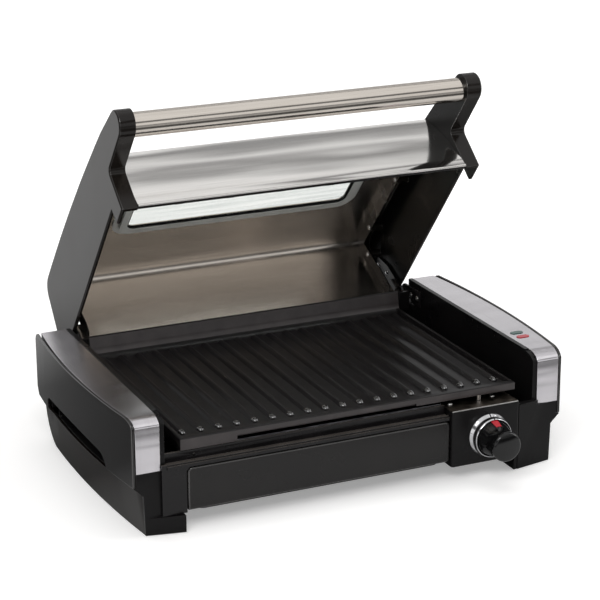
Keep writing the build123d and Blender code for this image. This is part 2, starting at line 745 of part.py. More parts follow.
def window_screws():
    """Screws through the ring into the hood."""
    reach = (window_back - window_front) / 2 + frame_margin - 3.2
    down = window_plane().z_dir * -1
    screws = []
    for x in (-97, 0, 97):
        for end in (-reach, reach):
            place = window_plane(1.5) * Pos(x, end, 0)
            screws.append(screw(place.position, down, 2.5, 1.5, 1.4, 1.2))
    return Compound(screws)


def handle_tube():
    half = cap_inner_x - 0.1
    tube = rod((-half, tube_y, tube_z), (1, 0, 0), tube_radius, 2 * half)
    return tube - rod((-half - 1, tube_y, tube_z), (1, 0, 0), tube_radius - 1.4, 2 * half + 2)


def hinge_arm():
    """Steel arm riveted inside the end cap, reaching below its rim to the hinge pin."""
    blade = area(
        (243.5, 98.5), (249.5, 124), (260, 142.5), (270.5, 142.5), (280.5, 121), (284.5, 99.5), (270, 96),
        (259, 89.5), (250, 92))
    arm = across(blade + Pos(hinge_y, hinge_z) * Circle(9), arm_x, arm_x + arm_thickness)
    return arm - rod((arm_x - 1, hinge_y, hinge_z), (1, 0, 0), pin_radius + running_gap, 5)


def arm_rivet_set():
    """Rivets of both hinge arms."""
    heads = []
    for y, z in arm_rivets:
        heads += both_sides(rivet((arm_x, y, z), (-1, 0, 0), 2.8, 1.3, 1.4, 4.5))
    return Compound(heads)


def flange_screws():
    """Screws that hold the hood's end flanges to the bosses of the caps."""
    heads = []
    for y, z in flange_places:
        heads += both_sides(screw((hood_x - sheet, y, z), (-1, 0, 0), 2.4, 1.4, 1.2, 7.0))
    return Compound(heads)


# ---------------------------------------------------------------- knob, tray and sensing pin

def turned(edges):
    """Solid of revolution about the knob's axis, from an outline of (radius, Y)."""
    return Pos(knob_x, 0, knob_z) * revolve(make_face(edges), Axis.Y)


def dial_ring():
    """Tapered chrome collar round the knob, with a stepped mouth and an index notch at the top."""
    back = box_front - 0.05
    ring = turned([
        Line((ring_bore, back), (19.6, back)),
        Line((19.6, back), (19.6, back - 1.2)),
        ThreePointArc((19.6, back - 1.2), (19.25, back - 5.5), (18.5, ring_front + 0.5)),
        ThreePointArc((18.5, ring_front + 0.5), (18.3, ring_front + 0.1), (18.0, ring_front)),
        Line((18.0, ring_front), (17.7, ring_front)),
        Line((17.7, ring_front), (17.6, ring_front + 0.9)),
        Line((17.6, ring_front + 0.9), (ring_bore, ring_front + 1.0)),
        Line((ring_bore, ring_front + 1.0), (ring_bore, back)),
    ])
    return ring - block((knob_x - 0.6, knob_x + 0.6), (-20, back - 2), (knob_z + 15, knob_z + 22))


def pointer_wedge(extra):
    """Block over the top of the knob's skirt, in the plan of the pointer."""
    outline = area(
        (knob_x - 3.4 - extra, -17.3), (knob_x + 3.4 + extra, -17.3),
        (knob_x + 2.6 + extra, -26 - extra), (knob_x - 2.6 - extra, -26 - extra))
    return Pos(0, 0, knob_z + 12 - extra) * extrude(outline, 7)


def knob_body():
    """Round knob with a waist between its skirt and its flared front; hollow at the back round the hub."""
    shape = turned([
        Line((0, knob_back), (16.6, knob_back)),
        Line((16.6, knob_back), (16.6, -17.0)),
        ThreePointArc((16.6, -17.0), (15.4, -21.6), (13.9, -27.0)),
        ThreePointArc((13.9, -27.0), (13.2, -32.0), (13.9, knob_front + 3.6)),
        ThreePointArc((13.9, knob_front + 3.6), (13.6, knob_front + 1.3), (12.1, knob_front)),
        Line((12.1, knob_front), (0, knob_front)),
        Line((0, knob_front), (0, knob_back)),
    ])
    hollow = rod((knob_x, knob_back + 1, knob_z), (0, -1, 0), 12, 9)
    hub = rod((knob_x, knob_back, knob_z), (0, -1, 0), 5.2, 10)
    shape = shape - (hollow - hub)
    shape = shape - rod((knob_x, knob_back + 1, knob_z), (0, -1, 0), shaft_radius, 25)
    return shape - pointer_wedge(0.05)


def knob_pointer():
    """Pointer insert, following the taper of the skirt and standing slightly proud."""
    taper = turned([
        Line((0, -17.3), (16.85, -17.3)),
        ThreePointArc((16.85, -17.3), (15.8, -21.6), (14.5, -26.0)),
        Line((14.5, -26.0), (0, -26.0)),
        Line((0, -26.0), (0, -17.3)),
    ])
    return pointer_wedge(0) & taper


def knob_shaft():
    return rod((knob_x, 15, knob_z), (0, -1, 0), shaft_radius, 15 - knob_back + 23.5)


def drip_tray():
    """Shallow sheet pan that slides under the element."""
    x = (-150, 84)
    z = (floor_top + 0.3, 47)
    outside = fillet(block(x, (0, tray_depth), z).edges().filter_by(Axis.Z), 8)
    rim = block((x[0] - 1.8, x[1] + 1.8), (0, tray_depth + 1.8), (z[1] - 1.4, z[1]))
    rim = fillet(rim.edges().filter_by(Axis.Z), 8)
    room = block((x[0] + 1.4, x[1] - 1.4), (1.4, tray_depth - 1.4), (z[0] + 1.4, z[1] + 1))
    return outside + rim - fillet(room.edges().filter_by(Axis.Z), 6.6)


def tray_front():
    """Front panel of the tray, rounded at its top corners, with a finger recess behind its lower edge."""
    panel = block((tray_left, tray_right), (tray_face_y, 0), (tray_low, tray_high))
    upright = panel.edges().filter_by(Axis.Y)
    panel = fillet(upright.group_by(Axis.Z)[-1], 4.5)
    panel = chamfer(panel.edges().group_by(Axis.Y)[0], 0.8)
    return panel - block((tray_left + 12, tray_right - 12), (-2.2, 0.5), (tray_low - 1, tray_low + 7))


def sensing_pin():
    """Sprung pin that the grill plate presses down."""
    stem = rod((pin_x, pin_y, 56), (0, 0, 1), sensor_radius, plate_bottom - 0.3 - 56)
    return stem + rod((pin_x, pin_y, collar_z), (0, 0, 1), 3.6, 1.0)


def pin_spring():
    """Compression spring between the thermostat and the pin's collar."""
    wire = 0.4
    low = spring_foot + wire
    coil = Helix(pitch=1.7, height=collar_z - 0.1 - wire - low, radius=3.2, center=(pin_x, pin_y, low))
    section = Plane(origin=coil @ 0, z_dir=coil % 0) * Circle(wire)
    return sweep(section, path=coil, is_frenet=True)


os.makedirs("parts", exist_ok=True)

lenses = [lamp_lens(y) for y in lamp_places]
bracket_heads = bracket_rivet_set()
right_pod = pod_housing() + pod_foot(156.4, box_low - 0.1) + pod_apron()
left_pod = pod_housing() + pod_foot(162.6, foot_height)
side_skirt = skirt()
save("base_pan", base_pan())
save("right_skirt", side_skirt)
save("left_skirt", mirrored(side_skirt))
save("rear_wall", rear_wall())
save("foot_pads", foot_pads())
save("right_pod_housing", right_pod - bracket_heads - lenses[0] - lenses[1])
save("left_pod_housing", mirrored(left_pod) - bracket_heads)
panel = side_panel()
save("right_side_panel", panel)
save("left_side_panel", mirrored(panel))
strip = side_strip()
save("right_steel_strip", strip - lenses[0] - lenses[1])
save("left_steel_strip", mirrored(strip))
save("red_lens", lenses[0])
save("green_lens", lenses[1])
save("lamp_holder", lamp_holder())
save("lamps", lamps())
save("front_frame", front_frame() - frame_screw())
save("frame_screw", frame_screw())
save("control_box", control_box() - ledge_screw_set())
save("sensor_ledge", ledge() - ledge_screw_set())
save("ledge_screws", ledge_screw_set())
save("heat_reflector", reflector())
save("heating_element", heating_element())
save("element_clips", element_clips())
save("thermostat", thermostat())
save("thermal_fuse", thermal_fuse())
save("terminal_block", terminal_block())
save("internal_wiring", wiring())
save("cord_gland", cord_gland())
save("rear_cover", rear_cover())
bracket = hinge_bracket() - bracket_heads
save("right_hinge_bracket", bracket)
save("left_hinge_bracket", mirrored(bracket))
save("bracket_rivets", bracket_heads)
save("hinge_pins", Compound(both_sides(hinge_pin())))
save("grill_plate", grill_plate())
save("dial_ring", dial_ring())

cap_rivets = arm_rivet_set()
cap_screws = flange_screws()
cap = end_cap() - cap_rivets - cap_screws
arm = hinge_arm() - cap_rivets
glazing_screws = window_screws()
flange = end_flange() - cap_screws
lid_parts = {
    "lid_hood": hood(),
    "right_end_flange": flange,
    "left_end_flange": mirrored(flange),
    "lid_right_cap": cap,
    "lid_left_cap": mirrored(cap),
    "lid_front_hem": front_hem(),
    "handle_tube": handle_tube(),
    "window_glass": window_glass(),
    "window_gasket": window_gasket(),
    "window_frame": window_frame() - glazing_screws,
    "window_screws": glazing_screws,
    "right_hinge_arm": arm,
    "left_hinge_arm": mirrored(arm),
    "arm_rivets": cap_rivets,
    "flange_screws": cap_screws,
}
for node, shape in lid_parts.items():
    save(node, swing_open(shape))

save("knob", knob_body())
save("knob_pointer", knob_pointer())
save("knob_shaft", knob_shaft())
save("drip_tray", drip_tray())
save("tray_front", tray_front())
save("sensing_pin", sensing_pin())
save("pin_spring", pin_spring())
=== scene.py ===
import bpy
import bmesh
import json
import math
import numpy as np
from mathutils import Matrix, Vector


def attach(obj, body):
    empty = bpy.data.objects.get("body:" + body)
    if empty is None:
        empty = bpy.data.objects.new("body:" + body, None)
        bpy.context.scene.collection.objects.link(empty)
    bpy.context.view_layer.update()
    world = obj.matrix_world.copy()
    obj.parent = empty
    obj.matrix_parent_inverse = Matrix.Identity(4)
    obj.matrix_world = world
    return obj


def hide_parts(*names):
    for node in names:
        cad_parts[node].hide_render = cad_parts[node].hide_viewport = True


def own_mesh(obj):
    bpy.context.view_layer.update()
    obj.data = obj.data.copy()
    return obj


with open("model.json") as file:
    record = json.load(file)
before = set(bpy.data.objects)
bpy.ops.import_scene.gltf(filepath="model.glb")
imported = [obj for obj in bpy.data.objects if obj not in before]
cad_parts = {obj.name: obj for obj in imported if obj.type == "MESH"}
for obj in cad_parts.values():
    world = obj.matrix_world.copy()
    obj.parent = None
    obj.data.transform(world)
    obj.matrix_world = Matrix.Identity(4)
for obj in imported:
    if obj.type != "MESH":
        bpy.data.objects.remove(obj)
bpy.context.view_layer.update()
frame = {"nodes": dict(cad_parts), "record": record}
nodes = frame["nodes"]
bodyOf = {node: body for body, held in frame["record"]["behaviour"]["bodies"].items() for node in held}
scene = bpy.context.scene
scene.view_settings.view_transform = "Standard"
mmPerM = 1000


def linearOf(hexColour):
    # sRGB hex to the linear colour that shaders want
    parts = np.array([int(hexColour[i:i + 2], 16) for i in (1, 3, 5)]) / 255.0
    linear = np.where(parts <= 0.04045, parts / 12.92, ((parts + 0.055) / 1.055) ** 2.4)
    return (*[float(v) for v in linear], 1.0)


def setStops(band, stops):
    # places along a colour ramp, each with an sRGB hex colour or a linear grey
    while len(band.elements) < len(stops):
        band.elements.new(0.5)
    for element, (place, colour) in zip(band.elements, stops):
        element.position = place
        element.color = linearOf(colour) if isinstance(colour, str) else (colour, colour, colour, 1.0)


def addNode(tree, kind, settings=None, links=None):
    # one shader node: settings name its properties, inputs or ramp stops, links its incoming sockets
    node = tree.nodes.new(kind)
    for name, value in (settings or {}).items():
        if name == "stops":
            setStops(node.color_ramp, value)
        elif isinstance(name, str) and hasattr(node, name):
            setattr(node, name, value)
        else:
            node.inputs[name].default_value = value
    for name, socket in (links or {}).items():
        tree.links.new(socket, node.inputs[name])
    return node


def newMaterial(name):
    material = bpy.data.materials.new(name)
    material.use_nodes = True
    tree = material.node_tree
    tree.nodes.clear()
    shader = addNode(tree, "ShaderNodeBsdfPrincipled")
    addNode(tree, "ShaderNodeOutputMaterial", {}, {"Surface": shader.outputs[0]})
    return material, tree, shader


def newPiece(name, content):
    # an object at the origin that holds a mesh, a camera or a light
    piece = bpy.data.objects.new(name, content)
    scene.collection.objects.link(piece)
    return piece


def patternSpace(tree, sizeMm):
    # Object coordinates in which one unit is sizeMm millimetres along each axis
    place = addNode(tree, "ShaderNodeTexCoord")
    scale = tuple(mmPerM / size for size in sizeMm)
    scaled = addNode(tree, "ShaderNodeMapping", {"Scale": scale}, {"Vector": place.outputs["Object"]})
    return scaled.outputs[0]


def varySurface(tree, shader, look, pattern, toneSpan=(0.3, 0.7), glossSpan=(0.3, 0.7)):
    # tone and gloss follow one pattern: below a span the first of the two values holds, above it the second
    tones = list(zip(toneSpan, (look["dark"], look["light"])))
    colour = addNode(tree, "ShaderNodeValToRGB", {"stops": tones}, {"Fac": pattern})
    gloss = addNode(tree, "ShaderNodeMapRange",
                    {"From Min": glossSpan[0], "From Max": glossSpan[1],
                     "To Min": look["rough"][0], "To Max": look["rough"][1]}, {"Value": pattern})
    tree.links.new(colour.outputs[0], shader.inputs["Base Color"])
    tree.links.new(gloss.outputs[0], shader.inputs["Roughness"])


def raiseGrain(tree, shader, look, height, depthMm, under=None):
    # grain of the given depth stands up by the finish's share of it, on any larger waves under it
    bump = addNode(tree, "ShaderNodeBump", {"Strength": look["bump"], "Distance": depthMm / mmPerM},
                   {"Height": height, **(under or {})})
    tree.links.new(bump.outputs[0], shader.inputs["Normal"])


# how the surfaces are made, the same for every finish of one kind
making = {
    "coolingWaveMm": 38,      # a moulding's long waves
    "mouldGrainDepthMm": 0.05, "scratchDepthMm": 0.03, "sprayDepthMm": 0.08,
    "scratchShare": 0.55,     # of brushed steel's pattern: the rest is broad bands
    "plasticIor": 1.5,        # also of a coating's binder
}


def mouldedPlastic(name, look):
    # injection moulded plastic: spark-eroded grain stands up a little, long waves vary its tone and gloss
    material, tree, shader = newMaterial(name)
    grain = addNode(tree, "ShaderNodeTexNoise", {"Scale": 1.0, "Detail": 3.0, "Roughness": 0.6},
                    {"Vector": patternSpace(tree, (look["grainMm"],) * 3)})
    wave = addNode(tree, "ShaderNodeTexNoise", {"Scale": 1.0, "Detail": 2.0},
                   {"Vector": patternSpace(tree, (making["coolingWaveMm"],) * 3)})
    varySurface(tree, shader, look, wave.outputs["Fac"])
    raiseGrain(tree, shader, look, grain.outputs["Fac"], making["mouldGrainDepthMm"])
    shader.inputs["IOR"].default_value = making["plasticIor"]
    shader.inputs["Specular IOR Level"].default_value = look["shine"]
    return material


def brushedSteel(name, look):
    # stainless sheet brushed along one axis: fine parallel scratches stretch the highlights across the grain
    material, tree, shader = newMaterial(name)
    shader.inputs["Metallic"].default_value = 1.0
    shader.inputs["Anisotropic"].default_value = look["stretch"]
    spread = addNode(tree, "ShaderNodeCombineXYZ", {"X": 1.0})
    if look["brushed"] == "alongX":
        # highlights spread square to the scratches, in the sheet's own surface
        surface = addNode(tree, "ShaderNodeNewGeometry")
        spread = addNode(tree, "ShaderNodeVectorMath", {"operation": "CROSS_PRODUCT"},
                         {0: surface.outputs["Normal"], 1: spread.outputs[0]})
    tree.links.new(spread.outputs[0], shader.inputs["Tangent"])
    scratches = addNode(tree, "ShaderNodeTexNoise", {"Scale": 1.0, "Detail": 4.0, "Roughness": 0.65},
                        {"Vector": patternSpace(tree, look["scratchMm"])})
    bands = addNode(tree, "ShaderNodeTexNoise", {"Scale": 1.0, "Detail": 3.0},
                    {"Vector": patternSpace(tree, look["bandMm"])})
    part = addNode(tree, "ShaderNodeMath", {"operation": "MULTIPLY", 1: 1 - making["scratchShare"]},
                   {0: bands.outputs["Fac"]})
    both = addNode(tree, "ShaderNodeMath", {"operation": "MULTIPLY_ADD", 1: making["scratchShare"]},
                   {0: scratches.outputs["Fac"], 2: part.outputs[0]})
    varySurface(tree, shader, look, both.outputs[0], toneSpan=(0.25, 0.75), glossSpan=(0.2, 0.8))
    # the sheet is never quite flat, so reflections wander a little
    warp = addNode(tree, "ShaderNodeTexNoise", {"Scale": 1.0, "Detail": 1.0, "Roughness": 0.4},
                   {"Vector": patternSpace(tree, look["warpMm"])})
    wave = addNode(tree, "ShaderNodeBump", {"Strength": 1.0, "Distance": look["warpDepthMm"] / mmPerM},
                   {"Height": warp.outputs["Fac"]})
    raiseGrain(tree, shader, look, scratches.outputs["Fac"], making["scratchDepthMm"],
               under={"Normal": wave.outputs[0]})
    return material


def coatedMetal(name, look):
    # coated casting or sheet: fine sprayed grain, and rubbed patches in its tone and sheen
    material, tree, shader = newMaterial(name)
    grain = addNode(tree, "ShaderNodeTexNoise", {"Scale": 1.0, "Detail": 4.0, "Roughness": 0.7},
                    {"Vector": patternSpace(tree, (look["grainMm"],) * 3)})
    patch = addNode(tree, "ShaderNodeTexNoise", {"Scale": 1.0, "Detail": 4.0},
                    {"Vector": patternSpace(tree, (look["patchMm"],) * 3)})
    varySurface(tree, shader, look, patch.outputs["Fac"])
    raiseGrain(tree, shader, look, grain.outputs["Fac"], making["sprayDepthMm"])
    shader.inputs["IOR"].default_value = making["plasticIor"]
    shader.inputs["Specular IOR Level"].default_value = look["shine"]
    # a smooth top layer, as on non-stick coatings: how much of it and how rough
    shader.inputs["Coat Weight"].default_value, shader.inputs["Coat Roughness"].default_value = look["coat"]
    return material


def platedMetal(name, look):
    # bare, plated or blackened metal: tone and gloss vary with a faint haze a few millimetres across
    material, tree, shader = newMaterial(name)
    shader.inputs["Metallic"].default_value = 1.0
    haze = addNode(tree, "ShaderNodeTexNoise", {"Scale": 1.0, "Detail": 3.0},
                   {"Vector": patternSpace(tree, (look["hazeMm"],) * 3)})
    varySurface(tree, shader, look, haze.outputs["Fac"])
    return material


def clearGlass(name, look):
    # clear glass: hardly tinted, with faint streaks of wiping in its tint and gloss
    material, tree, shader = newMaterial(name)
    streak = addNode(tree, "ShaderNodeTexNoise", {"Scale": 1.0, "Detail": 2.0},
                     {"Vector": patternSpace(tree, look["streakMm"])})
    varySurface(tree, shader, look, streak.outputs["Fac"], glossSpan=(0.35, 0.75))
    shader.inputs["IOR"].default_value = look["ior"]
    shader.inputs["Transmission Weight"].default_value = look["clear"]
    return material


# Each finish is named for the real material and how its surface was made. Grain, scratches and spray are
# really 0.05 to 0.3 mm across, too fine to show in the render, so they are drawn at 0.5 mm and more.
finishLooks = {
    "blackAbsMoulded": (mouldedPlastic, {  # base and pods: grain that takes most of the shine away
        "dark": "#0e0d0e", "light": "#131212", "rough": (0.26, 0.36), "grainMm": 0.8,
        "bump": 0.2, "shine": 0.16}),
    "blackAbsPolished": (mouldedPlastic, {  # side panels: clear soft highlights
        "dark": "#0b0a0a", "light": "#100f0f", "rough": (0.12, 0.18), "grainMm": 2.5,
        "bump": 0.04, "shine": 0.42}),
    "blackAbsGloss": (mouldedPlastic, {  # knob: sharp highlights
        "dark": "#070707", "light": "#0b0b0c", "rough": (0.07, 0.11), "grainMm": 3.0,
        "bump": 0.02, "shine": 0.4}),
    "blackPhenolicSatin": (mouldedPlastic, {  # the lid's caps and the skirts: a warm black with a broad sheen
        "dark": "#151210", "light": "#1b1714", "rough": (0.16, 0.22), "grainMm": 1.2,
        "bump": 0.05, "shine": 0.26}),
    "blackAbsPaintedEdgeHighlight": (mouldedPlastic, {  # rounded edges of mouldings: a painted highlight, a thin grey line of light
        "dark": "#292827", "light": "#343231", "rough": (0.12, 0.2), "grainMm": 1.5,
        "bump": 0.03, "shine": 0.9}),
    "blackPhenolicPaintedShade": (mouldedPlastic, {  # inner sides of the lid's caps: painted shade, darker than the outer faces and with no shine
        "dark": "#0c0b0b", "light": "#121110", "rough": (0.26, 0.36), "grainMm": 1.2,
        "bump": 0.2, "shine": 0.08}),
    "blackAbsSatin": (mouldedPlastic, {  # tray front: an even sheen
        "dark": "#110f0f", "light": "#171514", "rough": (0.24, 0.32), "grainMm": 1.0,
        "bump": 0.1, "shine": 0.36}),
    "steelBrushedAcross": (brushedSteel, {  # hood: bright, with soft wandering reflections
        "dark": "#cfccc9", "light": "#f0eeeb", "rough": (0.11, 0.16), "scratchMm": (60, 0.5, 0.5),
        "bandMm": (140, 14, 14), "bump": 0.12, "stretch": 0.6, "brushed": "alongX",
        "warpMm": (190, 40, 40), "warpDepthMm": 2.4}),
    "steelBrushedTube": (brushedSteel, {  # handle: long even lines of light
        "dark": "#bcb4ab", "light": "#ded7cf", "rough": (0.09, 0.14), "scratchMm": (60, 0.5, 0.5),
        "bandMm": (140, 8, 8), "bump": 0.12, "stretch": 0.5, "brushed": "alongX",
        "warpMm": (200, 60, 60), "warpDepthMm": 0.2}),
    "steelMillPaintedWarmReflection": (brushedSteel, {  # inside of the hood: duller than its polished side, and warmer with a painted warm reflection
        "dark": "#c9c1b8", "light": "#e9e1d8", "rough": (0.2, 0.27), "scratchMm": (40, 0.6, 0.6),
        "bandMm": (90, 20, 20), "bump": 0.12, "stretch": 0.9, "brushed": "alongX",
        "warpMm": (150, 70, 70), "warpDepthMm": 1.2}),
    "steelBrushedLengthwise": (brushedSteel, {  # side strips: cool and satin
        "dark": "#c0bdc0", "light": "#d8d5d9", "rough": (0.22, 0.28), "scratchMm": (0.5, 60, 60),
        "bandMm": (14, 60, 60), "bump": 0.04, "stretch": 0.7, "brushed": "acrossX",
        "warpMm": (90, 30, 12), "warpDepthMm": 0.6}),
    "nonstickCasting": (coatedMetal, {  # plate: a dull black under a thin clear layer
        "dark": "#110f10", "light": "#191717", "rough": (0.4, 0.5), "grainMm": 0.9, "patchMm": 22,
        "bump": 0.3, "shine": 0.2, "coat": (0.14, 0.14)}),
    "nonstickPaintedSheenFront": (coatedMetal, {  # front of the plate: a painted sheen, greyer than the top
        "dark": "#322e2e", "light": "#403b3b", "rough": (0.34, 0.46), "grainMm": 0.9, "patchMm": 18,
        "bump": 0.3, "shine": 0.4, "coat": (0.1, 0.2)}),
    "nonstickPolished": (coatedMetal, {  # noses of the ribs: a bright dot on each
        "dark": "#0c0b0b", "light": "#121111", "rough": (0.1, 0.16), "grainMm": 1.5, "patchMm": 22,
        "bump": 0.04, "shine": 1.0, "coat": (1.0, 0.05)}),
    "blackCoatedSheet": (coatedMetal, {  # frame, tray and hinges: a fine sprayed satin
        "dark": "#0e0d0e", "light": "#151314", "rough": (0.2, 0.3), "grainMm": 0.7, "patchMm": 30,
        "bump": 0.22, "shine": 0.3, "coat": (0.0, 0.1)}),
    "coatedSheetPaintedTopHighlight": (coatedMetal, {  # upper faces of the front frame: a painted highlight, a brownish line
        "dark": "#3a3633", "light": "#4a4541", "rough": (0.2, 0.3), "grainMm": 0.7, "patchMm": 30,
        "bump": 0.15, "shine": 0.6, "coat": (0.0, 0.1)}),
    "greyCoatedSheet": (coatedMetal, {  # frame of the window: pale and even
        "dark": "#c2c4c0", "light": "#d4d6d2", "rough": (0.3, 0.4), "grainMm": 0.5, "patchMm": 18,
        "bump": 0.12, "shine": 0.6, "coat": (0.0, 0.1)}),
    "chromePlate": (platedMetal, {  # collar, rivets and pin: mirrors the room
        "dark": "#c4c4c6", "light": "#dcdcde", "rough": (0.05, 0.1), "hazeMm": 6}),
    "zincPlatedSteel": (platedMetal, {  # screws and clips: a grey glint
        "dark": "#9c9b99", "light": "#bdbcba", "rough": (0.25, 0.4), "hazeMm": 3}),
    "blackenedSteel": (platedMetal, {  # dark screws and hinge pins: metal only where they glint
        "dark": "#252423", "light": "#3c3a39", "rough": (0.25, 0.4), "hazeMm": 2}),
    "ledgeSteel": (platedMetal, {  # ledge over the control box: stained brown by heat
        "dark": "#3a332c", "light": "#7d746a", "rough": (0.34, 0.46), "hazeMm": 9}),
    "aluminisedSheet": (platedMetal, {  # reflector: dull silver
        "dark": "#86868a", "light": "#a2a2a6", "rough": (0.35, 0.5), "hazeMm": 9}),
    "oxidisedSheath": (coatedMetal, {  # heating element: a dull brown-black scale
        "dark": "#2b2926", "light": "#3a3632", "rough": (0.5, 0.65), "grainMm": 0.6, "patchMm": 12,
        "bump": 0.4, "shine": 0.4, "coat": (0.0, 0.3)}),
    "phenolicMoulded": (mouldedPlastic, {  # thermostat and terminal block: a brown thermoset
        "dark": "#3a2a22", "light": "#46342a", "rough": (0.4, 0.5), "grainMm": 0.9,
        "bump": 0.2, "shine": 0.5}),
    "siliconeRubber": (mouldedPlastic, {  # pads, gland, gasket and leads: a soft matt black
        "dark": "#121212", "light": "#1a1a1a", "rough": (0.6, 0.75), "grainMm": 0.5,
        "bump": 0.3, "shine": 0.25}),
    "redPolycarbonate": (mouldedPlastic, {  # lens and pointer: a deep glossy red
        "dark": "#8c0c18", "light": "#c41f31", "rough": (0.1, 0.18), "grainMm": 1.5,
        "bump": 0.05, "shine": 0.4}),
    "greenPolycarbonate": (mouldedPlastic, {  # lens of an unlit lamp: nearly black green
        "dark": "#062822", "light": "#0f5248", "rough": (0.1, 0.18), "grainMm": 1.5,
        "bump": 0.05, "shine": 0.4}),
    "temperedGlass": (clearGlass, {  # window and bulbs: clear, with a faint green-grey
        "dark": "#d3d7d4", "light": "#eef0ed", "rough": (0.0, 0.03), "streakMm": (90, 5, 5), "ior": 1.5,
        "clear": 1.0}),
}
finishes = {name: make(name, look) for name, (make, look) in finishLooks.items()}
print("materials made:", len(finishes))


def finishOf(thing, finish):
    thing.data.materials.clear()
    thing.data.materials.append(finishes[finish])


# every CAD node's finish, which its eased copy takes over
nodeFinish = {
    "base_pan": "blackAbsMoulded", "right_skirt": "blackPhenolicSatin", "left_skirt": "blackPhenolicSatin",
    "rear_wall": "blackAbsMoulded", "foot_pads": "siliconeRubber", "right_pod_housing": "blackAbsMoulded",
    "left_pod_housing": "blackAbsMoulded", "right_side_panel": "blackAbsPolished",
    "left_side_panel": "blackAbsPolished", "right_steel_strip": "steelBrushedLengthwise",
    "left_steel_strip": "steelBrushedLengthwise", "red_lens": "redPolycarbonate",
    "green_lens": "greenPolycarbonate", "lamp_holder": "blackAbsMoulded", "lamps": "temperedGlass",
    "front_frame": "blackCoatedSheet", "frame_screw": "blackenedSteel", "control_box": "blackAbsMoulded",
    "sensor_ledge": "ledgeSteel", "ledge_screws": "zincPlatedSteel", "heat_reflector": "aluminisedSheet",
    "heating_element": "oxidisedSheath", "element_clips": "zincPlatedSteel", "thermostat": "phenolicMoulded",
    "thermal_fuse": "phenolicMoulded", "terminal_block": "phenolicMoulded",
    "internal_wiring": "siliconeRubber", "cord_gland": "siliconeRubber", "rear_cover": "blackAbsMoulded",
    "right_hinge_bracket": "blackCoatedSheet", "left_hinge_bracket": "blackCoatedSheet",
    "bracket_rivets": "zincPlatedSteel", "hinge_pins": "blackenedSteel", "grill_plate": "nonstickCasting",
    "dial_ring": "chromePlate", "lid_hood": "steelBrushedAcross", "lid_right_cap": "blackPhenolicSatin",
    "lid_left_cap": "blackPhenolicSatin", "lid_front_hem": "blackCoatedSheet",
    "handle_tube": "steelBrushedTube", "window_glass": "temperedGlass", "window_gasket": "siliconeRubber",
    "right_end_flange": "blackCoatedSheet", "left_end_flange": "blackCoatedSheet",
    "window_frame": "greyCoatedSheet", "window_screws": "blackenedSteel",
    "right_hinge_arm": "blackCoatedSheet", "left_hinge_arm": "blackCoatedSheet", "arm_rivets": "chromePlate",
    "flange_screws": "chromePlate", "knob": "blackAbsGloss", "knob_pointer": "redPolycarbonate",
    "knob_shaft": "zincPlatedSteel", "drip_tray": "blackCoatedSheet", "tray_front": "blackAbsSatin",
    "sensing_pin": "chromePlate", "pin_spring": "zincPlatedSteel",
}
for node, finish in nodeFinish.items():
    finishOf(nodes[node], finish)
print("finishes given to CAD nodes:", len(nodeFinish))


merging = {
    "gap": 0.000004,     # metres: corners of a node's loose triangles nearer than this become one
    "flatDegrees": 0.6,  # triangles that turn by less become one flat face
}


def mergedMesh(node, sharpDegrees, flatten=False):
    # a CAD node's triangles joined into one mesh, shaded smooth but for edges that turn by the angle
    mesh = nodes[node].data.copy()
    shape = bmesh.new()
    shape.from_mesh(mesh)
    bmesh.ops.remove_doubles(shape, verts=shape.verts, dist=merging["gap"])
    if flatten:
        bmesh.ops.dissolve_limit(shape, angle_limit=math.radians(merging["flatDegrees"]), verts=shape.verts,
                                 edges=shape.edges)
    for face in shape.faces:
        face.smooth = True
    shape.to_mesh(mesh)
    shape.free()
    mesh.set_sharp_from_angle(angle=math.radians(sharpDegrees))
    return mesh


easing = {
    "sharpDegrees": 35, "segments": 2,
    "widthMm": {
        "right_skirt": 0.6, "left_skirt": 0.6, "rear_wall": 0.3, "base_pan": 0.5,
        "right_hinge_bracket": 0.3, "left_hinge_bracket": 0.3,
        "right_pod_housing": 0.5, "left_pod_housing": 0.5, "right_side_panel": 0.7,
        "left_side_panel": 0.7, "front_frame": 0.4, "control_box": 0.5, "sensor_ledge": 0.25,
        "grill_plate": 0.8, "tray_front": 0.5, "drip_tray": 0.4, "lid_hood": 0.25, "lid_left_cap": 0.4,
        "lid_right_cap": 0.4, "window_frame": 0.3, "left_steel_strip": 0.25, "right_steel_strip": 0.25,
        "rear_cover": 0.5, "knob": 0.3, "left_hinge_arm": 0.3, "right_hinge_arm": 0.3, "left_end_flange": 0.2,
        "right_end_flange": 0.2,
    },
    # mouldings whose rounded edges carry a painted highlight, lighter than their faces
    "paintedEdgeHighlight": ["left_side_panel", "right_side_panel", "left_skirt", "right_skirt", "control_box",
               "tray_front", "left_pod_housing", "right_pod_housing", "lid_left_cap", "lid_right_cap",
               "knob"],
    # joined into large faces, the plate shows streaks in its gloss
    "unflattened": ["grill_plate"],
}


def easedCopy(node, look):
    # a CAD node with its sharp edges rounded by a bevel
    mesh = mergedMesh(node, look["sharpDegrees"], flatten=node not in look["unflattened"])
    copy = newPiece(node.replace("_", "-") + "-eased", mesh)
    bevel = copy.modifiers.new("edge", "BEVEL")
    bevel.width = look["widthMm"][node] / mmPerM
    bevel.segments = look["segments"]
    bevel.limit_method = "ANGLE"
    bevel.angle_limit = math.radians(look["sharpDegrees"])
    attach(copy, bodyOf[node])
    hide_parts(node)
    finishOf(copy, nodeFinish[node])
    # the bevel's faces take a lighter finish: a painted highlight along the edges
    if node in look["paintedEdgeHighlight"]:
        mesh.materials.append(finishes["blackAbsPaintedEdgeHighlight"])
        bevel.material = 1
    return copy


copies = {node: easedCopy(node, easing) for node in easing["widthMm"]}
print("eased copies made:", len(copies))


